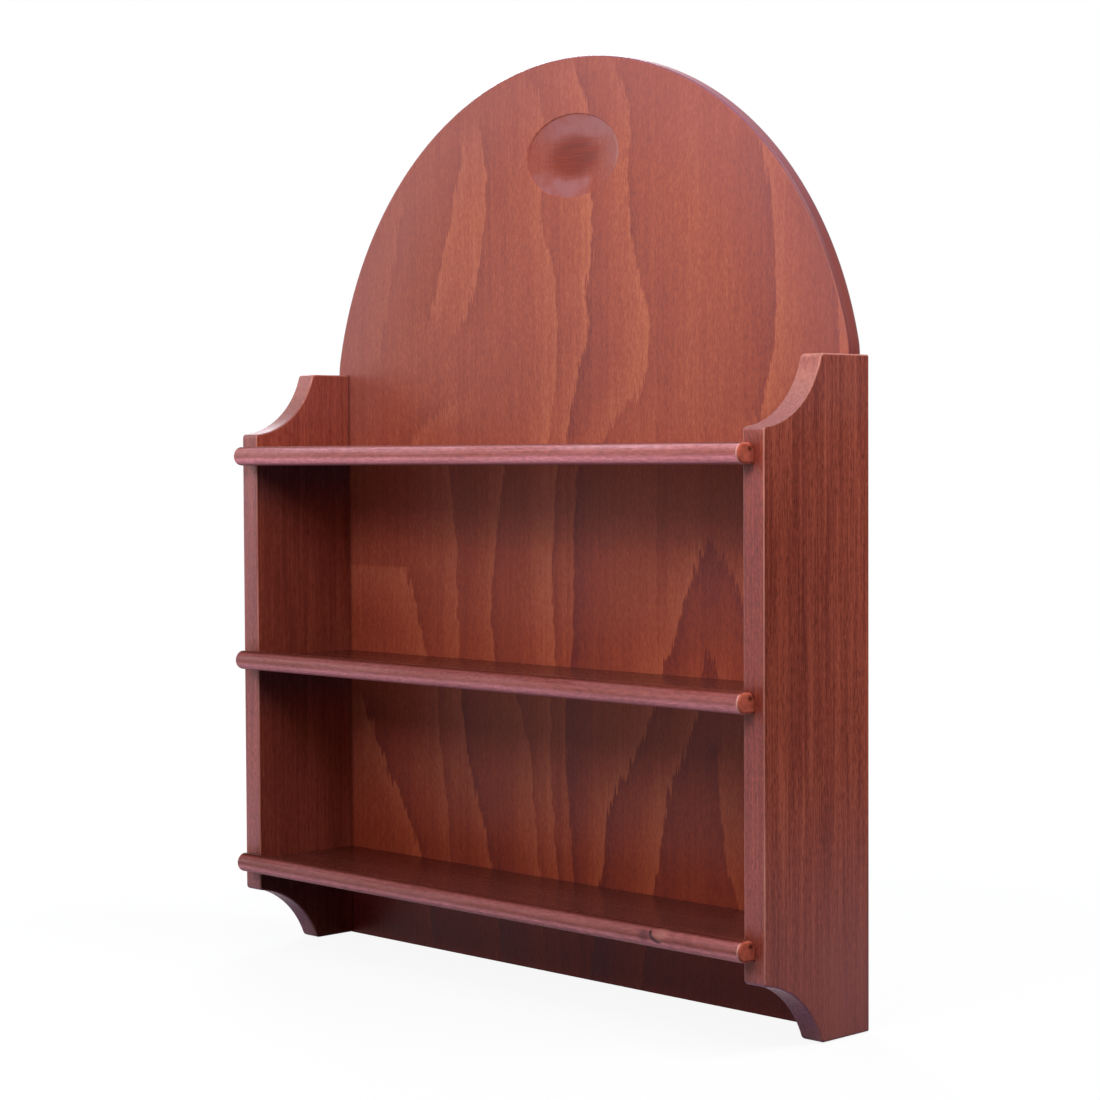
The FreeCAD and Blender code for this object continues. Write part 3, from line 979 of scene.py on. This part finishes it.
def upright_slot(name, low, high):
    """A block whose outline, seen from behind, is round at both ends."""
    slot = block(name, low, high)
    edit_on()
    pick(slot, "EDGE", lambda e: near(e.verts[0].co.x, e.verts[1].co.x)
         and near(e.verts[0].co.z, e.verts[1].co.z))
    round_edges((high.x - low.x) / 2 - 0.01 * MM, SLOT_SEGMENTS)
    edit_off()
    return slot


# Two pins lie at least this far apart
PIN_SPACING = 4 * MM


def pin_places():
    """The middles of the pins' heads, which lie flush with the back of the panel."""
    places = []
    for node in PIN_NODES:
        heads = [vertex.co.copy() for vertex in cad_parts[node].data.vertices if near(vertex.co.y, 0)]
        while heads:
            head = [spot for spot in heads if (spot - heads[0]).length < PIN_SPACING]
            heads = [spot for spot in heads if (spot - heads[0]).length >= PIN_SPACING]
            places.append(sum(head, Vector()) / len(head))
    return places


def pin_seats():
    """One round seat for each pin's head in the back of the panel."""
    size = sizes()
    places = pin_places()
    seats = fresh_primitive(
        "pin_seats", bpy.ops.mesh.primitive_cylinder_add, vertices=PIN_SEAT_SIDES,
        radius=size.pin_seat_radius, depth=2 * size.pin_seat_depth,
        location=places[0], rotation=(math.pi / 2, 0, 0),
    )
    edit_on()
    bpy.ops.mesh.select_all(action="SELECT")
    for start, end in zip(places, places[1:]):
        bpy.ops.mesh.duplicate_move(TRANSFORM_OT_translate={"value": end - start})
    edit_off()
    return seats


class TRINKET_OT_back_panel(bpy.types.Operator):
    """Model the arched plywood back with its carved dish and its hanger recesses"""

    bl_idname = "trinket.back_panel"
    bl_label = "Back panel"

    def execute(self, context):
        size = sizes()
        panel = arched_sheet()
        cut_out(panel, dish_cutter())
        past = Vector((0, 1 * MM, 0))
        for node in PLATE_NODES:
            low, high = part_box(node)
            cut_out(panel, upright_slot("plate_recess", low, high + past))
            middle = (low + high) / 2
            reach = Vector((size.pocket_radius, 0, size.pocket_rise / 2 + size.pocket_radius))
            pocket_low = Vector((middle.x, -size.pocket_depth, middle.z)) - reach
            pocket_high = Vector((middle.x, 0, middle.z)) + reach + past
            cut_out(panel, upright_slot("keyhole_pocket", pocket_low, pocket_high))
        cut_out(panel, pin_seats())
        complete(panel, panel_material(), "back_panel")
        return {"FINISHED"}


def scooped_side():
    """The right side board before its joints are cut."""
    size = sizes()
    inner, front, back = SIDE_LOW.x, SIDE_LOW.y, SIDE_HIGH.y
    top = SIDE_HIGH.z
    tip = front + size.scoop_depth
    axis = Vector((1, 0, 0))

    def at(y, z):
        return Vector((inner, y, z))

    top_tip, top_front = at(tip, top), at(front, top - size.top_scoop_height)
    low_front, low_tip = at(front, size.bottom_scoop_height), at(tip, 0)
    top_centre = arc_centre(top_tip, top_front, size.top_scoop_radius, Vector((0, 1, -1)))
    low_centre = arc_centre(low_front, low_tip, size.bottom_scoop_radius, Vector((0, 1, 1)))
    board = start_outline("right_side_board", at(back, 0))
    draw_line(board, at(back, top))
    draw_line(board, top_tip)
    draw_arc(board, top_front, top_centre, axis, SCOOP_STEPS)
    draw_line(board, low_front)
    draw_arc(board, low_tip, low_centre, axis, SCOOP_STEPS)
    close_outline()
    corners = (top_tip, top_front, low_front, low_tip)
    pick(board, "VERT", lambda v: any((v.co - corner).length < SAME for corner in corners))
    bpy.ops.mesh.bevel(affect="VERTICES", offset=size.side_corner, segments=CORNER_SEGMENTS)
    thicken(Vector((SIDE_HIGH.x - inner, 0, 0)))
    flat = (inner, SIDE_HIGH.x)
    pick(board, "EDGE", lambda e: any(ends_pass(e, lambda p: near(p.x, plane)) for plane in flat)
         and not ends_pass(e, lambda p: near(p.y, back)))
    round_edges(size.side_arris, ARRIS_SEGMENTS)
    face_outwards()
    edit_off()
    return board


class TRINKET_OT_sides(bpy.types.Operator):
    """Model the scooped side boards with their rebates and shelf housings"""

    bl_idname = "trinket.sides"
    bl_label = "Side boards"

    def execute(self, context):
        right = scooped_side()
        spare = 1 * MM
        rebate_low = Vector((SIDE_LOW.x - spare, PANEL_LOW.y, SIDE_LOW.z - spare))
        rebate_high = Vector((PANEL_HIGH.x, SIDE_HIGH.y + spare, SIDE_HIGH.z + spare))
        cut_out(right, block("rebate", rebate_low, rebate_high))
        for node, (low, high) in SHELF_BOXES.items():
            housing_low = Vector((SIDE_LOW.x - spare, SIDE_LOW.y - spare, low.z))
            housing_high = Vector((high.x, PANEL_LOW.y + spare, shelf_top(node)))
            cut_out(right, block("housing", housing_low, housing_high))
        only_select(right)
        bpy.ops.object.duplicate(linked=False)
        left = bpy.context.active_object
        left.name = "left_side_board"
        left.data.name = "left_side_board"
        edit_on()
        bpy.ops.mesh.select_all(action="SELECT")
        bpy.ops.transform.resize(value=(-1, 1, 1), center_override=(0, 0, 0))
        face_outwards()
        edit_off()
        material = side_material()
        complete(right, material, "right_side")
        complete(left, material, "left_side")
        return {"FINISHED"}


def lipped_shelf(node):
    """One shelf board: flat top, raised lip with a round rear, half-round nose, eased ends."""
    low, high = SHELF_BOXES[node]
    axis = Vector((1, 0, 0))
    top, middle = shelf_top(node), (low.z + high.z) / 2
    lip, nose = high.z - top, low.y + middle - low.z
    lip_rear = SIDE_LOW.y

    def at(y, z):
        return Vector((low.x, y, z))

    board = start_outline(node + "_board", at(high.y, low.z))
    draw_line(board, at(high.y, top))
    draw_line(board, at(lip_rear, top))
    draw_arc(board, at(lip_rear - lip, high.z), at(lip_rear - lip, top), axis, LIP_STEPS)
    draw_line(board, at(nose, high.z))
    draw_arc(board, at(low.y, middle), at(nose, middle), axis, NOSE_STEPS)
    draw_arc(board, at(nose, low.z), at(nose, middle), axis, NOSE_STEPS)
    close_outline()
    thicken(Vector((high.x - low.x, 0, 0)))
    ends = (low.x, high.x)
    pick(board, "EDGE", lambda e: any(ends_pass(e, lambda p: near(p.x, end)) for end in ends)
         and not ends_pass(e, lambda p: near(p.y, high.y))
         and not ends_pass(e, lambda p: near(p.z, top) and p.y > lip_rear - SAME))
    round_edges(sizes().shelf_end_arris, ARRIS_SEGMENTS)
    face_outwards()
    edit_off()
    return board


# How far the grain is moved from one shelf to the next
GRAIN_STEP = Vector((0.7, 0.31, 0.0))


class TRINKET_OT_shelves(bpy.types.Operator):
    """Model the three shelf boards with half-round noses, raised lips and eased ends"""

    bl_idname = "trinket.shelves"
    bl_label = "Shelf boards"

    def execute(self, context):
        for count, node in enumerate(SHELF_NODES):
            board = lipped_shelf(node)
            complete(board, shelf_material(node, GRAIN_STEP * count), node)
        return {"FINISHED"}


class TRINKET_OT_fittings(bpy.types.Operator):
    """Give the hanger plates, their screws and the panel pins their zinc finish"""

    bl_idname = "trinket.fittings"
    bl_label = "Steel fittings"

    def execute(self, context):
        tints = finish()
        finishes = (
            (PLATE_NODES, zinc_material("zinc hanger plate", tints.zinc, (400, 400, 6000))),
            (SCREW_NODES, zinc_material("zinc screw", tints.screw_zinc, (4000, 900, 900))),
            (PIN_NODES, zinc_material("bright pin", tints.zinc, (3000, 3000, 3000))),
        )
        for nodes, material in finishes:
            for node in nodes:
                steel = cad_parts[node]
                steel.data.materials.clear()
                steel.data.materials.append(material)
        return {"FINISHED"}


# Stage

CAMERA_PLACE = Vector((0.882074, -0.878271, 0.255264))
CAMERA_AZIMUTH = math.radians(45.8136)
CAMERA_PITCH = math.radians(2.0838)
CAMERA_ROLL = math.radians(-0.2892)
CAMERA_LENS = 82.848
CAMERA_SENSOR = 36.0

# Soft lights: name, degrees to the right of the front, degrees up, distance, width, watts, tint
WHITE, COOL = (1.0, 1.0, 1.0), (0.86, 0.92, 1.0)
LIGHT_AIM = Vector((0.0, -0.03, 0.28))
LIGHTS = (
    ("front light", -5, 24, 1.35, 0.35, 3.1, WHITE),
    ("near front light", 30, 32, 0.50, 0.25, 1.5, WHITE),
    ("left front light", -35, 18, 0.50, 0.25, 0.4, COOL),
    ("left light", -75, 8, 1.35, 0.60, 5.0, COOL),
    ("right light", 67, 52, 1.35, 0.60, 5.0, WHITE),
    ("right rear light", 105, 55, 1.35, 0.60, 14.0, WHITE),
    ("left rear light", -125, 35, 1.35, 0.60, 16.0, COOL),
)
FLOOR_DROP = 0.5 * MM
FLOOR_SIZE = 30.0
WORLD_STRENGTH = 0.02


def seen_directly(tree):
    """One for camera, glossy and transmission rays, nought for the rays that light the object."""
    path = add_node(tree, "ShaderNodeLightPath", {}).outputs
    return largest(*[Signal(path[kind + " Ray"]) for kind in ("Is Camera", "Is Glossy", "Is Transmission")])


def floor_material():
    """Pale floor that fades to white away from the object, keeps its shadow and sends little light back."""
    material, point, _ = new_material("pale floor")
    tree = material.node_tree
    away = feed("ShaderNodeVectorMath", {0: point}, output=1, operation="LENGTH")
    glow = remap(away, 0.25, 0.9, 0.92, 1.0)
    lit = feed("ShaderNodeBsdfDiffuse", {"Color": (0.06, 0.06, 0.06, 1.0)}, tree=tree)
    white = feed("ShaderNodeEmission", {"Color": (1.0, 1.0, 1.0, 1.0), "Strength": glow})
    shown = feed("ShaderNodeAddShader", {0: lit, 1: white})
    pale = ramp(away, ((0.13, (0.07, 0.073, 0.08)), (0.42, (0.42, 0.44, 0.48))))
    bounce = feed("ShaderNodeBsdfDiffuse", {"Color": pale})
    show(feed("ShaderNodeMixShader", {0: seen_directly(tree), 1: bounce, 2: shown}))
    return material


def white_world(strength):
    """A world that is white to look at and lights the object softly."""
    world = bpy.data.worlds.new("white studio")
    world.use_nodes = True
    tree = world.node_tree
    tree.nodes.clear()
    soft = feed("ShaderNodeBackground", {"Color": (0.86, 0.92, 1.0, 1.0), "Strength": strength}, tree=tree)
    white = feed("ShaderNodeBackground", {"Color": (1.0, 1.0, 1.0, 1.0), "Strength": 1.0}, tree=tree)
    both = feed("ShaderNodeMixShader", {0: seen_directly(tree), 1: soft, 2: white})
    show(both, "ShaderNodeOutputWorld")
    bpy.context.scene.world = world


def soft_light(name, azimuth, elevation, distance, width, power, tint):
    """A square soft light aimed at the shelf and hidden from the camera."""
    turn, rise = math.radians(azimuth), math.radians(elevation)
    out = Vector((math.sin(turn) * math.cos(rise), -math.cos(turn) * math.cos(rise), math.sin(rise)))
    bpy.ops.object.light_add(type="AREA", location=LIGHT_AIM + out * distance)
    light = bpy.context.active_object
    light.name = name
    light.rotation_euler = out.to_track_quat("Z", "Y").to_euler()
    light.visible_camera = False
    light.data.size = width
    light.data.energy = power
    light.data.color = tint


class TRINKET_OT_stage(bpy.types.Operator):
    """Set the floor, the soft studio light and the camera"""

    bl_idname = "trinket.stage"
    bl_label = "Stage"

    def execute(self, context):
        floor = fresh_primitive(
            "floor", bpy.ops.mesh.primitive_plane_add, size=FLOOR_SIZE, location=(0, 0, -FLOOR_DROP),
        )
        floor.data.materials.append(floor_material())
        white_world(WORLD_STRENGTH)
        for light in LIGHTS:
            soft_light(*light)
        bpy.ops.object.camera_add(location=CAMERA_PLACE)
        camera = bpy.context.active_object
        camera.name = "photo camera"
        turn = Matrix.Rotation(CAMERA_AZIMUTH, 4, "Z")
        tilt = Matrix.Rotation(math.pi / 2 - CAMERA_PITCH, 4, "X")
        roll = Matrix.Rotation(CAMERA_ROLL, 4, "Z")
        camera.matrix_world = Matrix.Translation(CAMERA_PLACE) @ turn @ tilt @ roll
        camera.data.lens = CAMERA_LENS
        camera.data.sensor_width = CAMERA_SENSOR
        camera.data.clip_start = 0.01
        context.scene.camera = camera
        context.scene.view_settings.view_transform = "Standard"
        return {"FINISHED"}


class TRINKET_PT_sidebar(bpy.types.Panel):
    """Buttons and settings of the trinket shelf"""

    bl_idname = "TRINKET_PT_sidebar"
    bl_label = "Trinket Shelf"
    bl_space_type = "VIEW_3D"
    bl_region_type = "UI"
    bl_category = "Trinket Shelf"

    def draw(self, context):
        for operator in OPERATORS:
            self.layout.operator(operator.bl_idname)
        for group in (sizes(), finish()):
            box = self.layout.box()
            for name in group.__annotations__:
                box.prop(group, name)


OPERATORS = (
    TRINKET_OT_back_panel,
    TRINKET_OT_sides,
    TRINKET_OT_shelves,
    TRINKET_OT_fittings,
    TRINKET_OT_stage,
)
CLASSES = (ShelfSizes, ShelfFinish) + OPERATORS + (TRINKET_PT_sidebar,)


def register():
    """Registers the classes and hangs the settings on the scene."""
    for cls in CLASSES:
        bpy.utils.register_class(cls)
    bpy.types.Scene.trinket_shelf_sizes = bpy.props.PointerProperty(type=ShelfSizes)
    bpy.types.Scene.trinket_shelf_finish = bpy.props.PointerProperty(type=ShelfFinish)


def unregister():
    """Takes the settings and the classes away again."""
    del bpy.types.Scene.trinket_shelf_finish
    del bpy.types.Scene.trinket_shelf_sizes
    for cls in reversed(CLASSES):
        bpy.utils.unregister_class(cls)


def main():
    """Builds the shelf and its stage."""
    register()
    bpy.ops.trinket.back_panel()
    bpy.ops.trinket.sides()
    bpy.ops.trinket.shelves()
    bpy.ops.trinket.fittings()
    bpy.ops.trinket.stage()


if __name__ == "__main__":
    main()
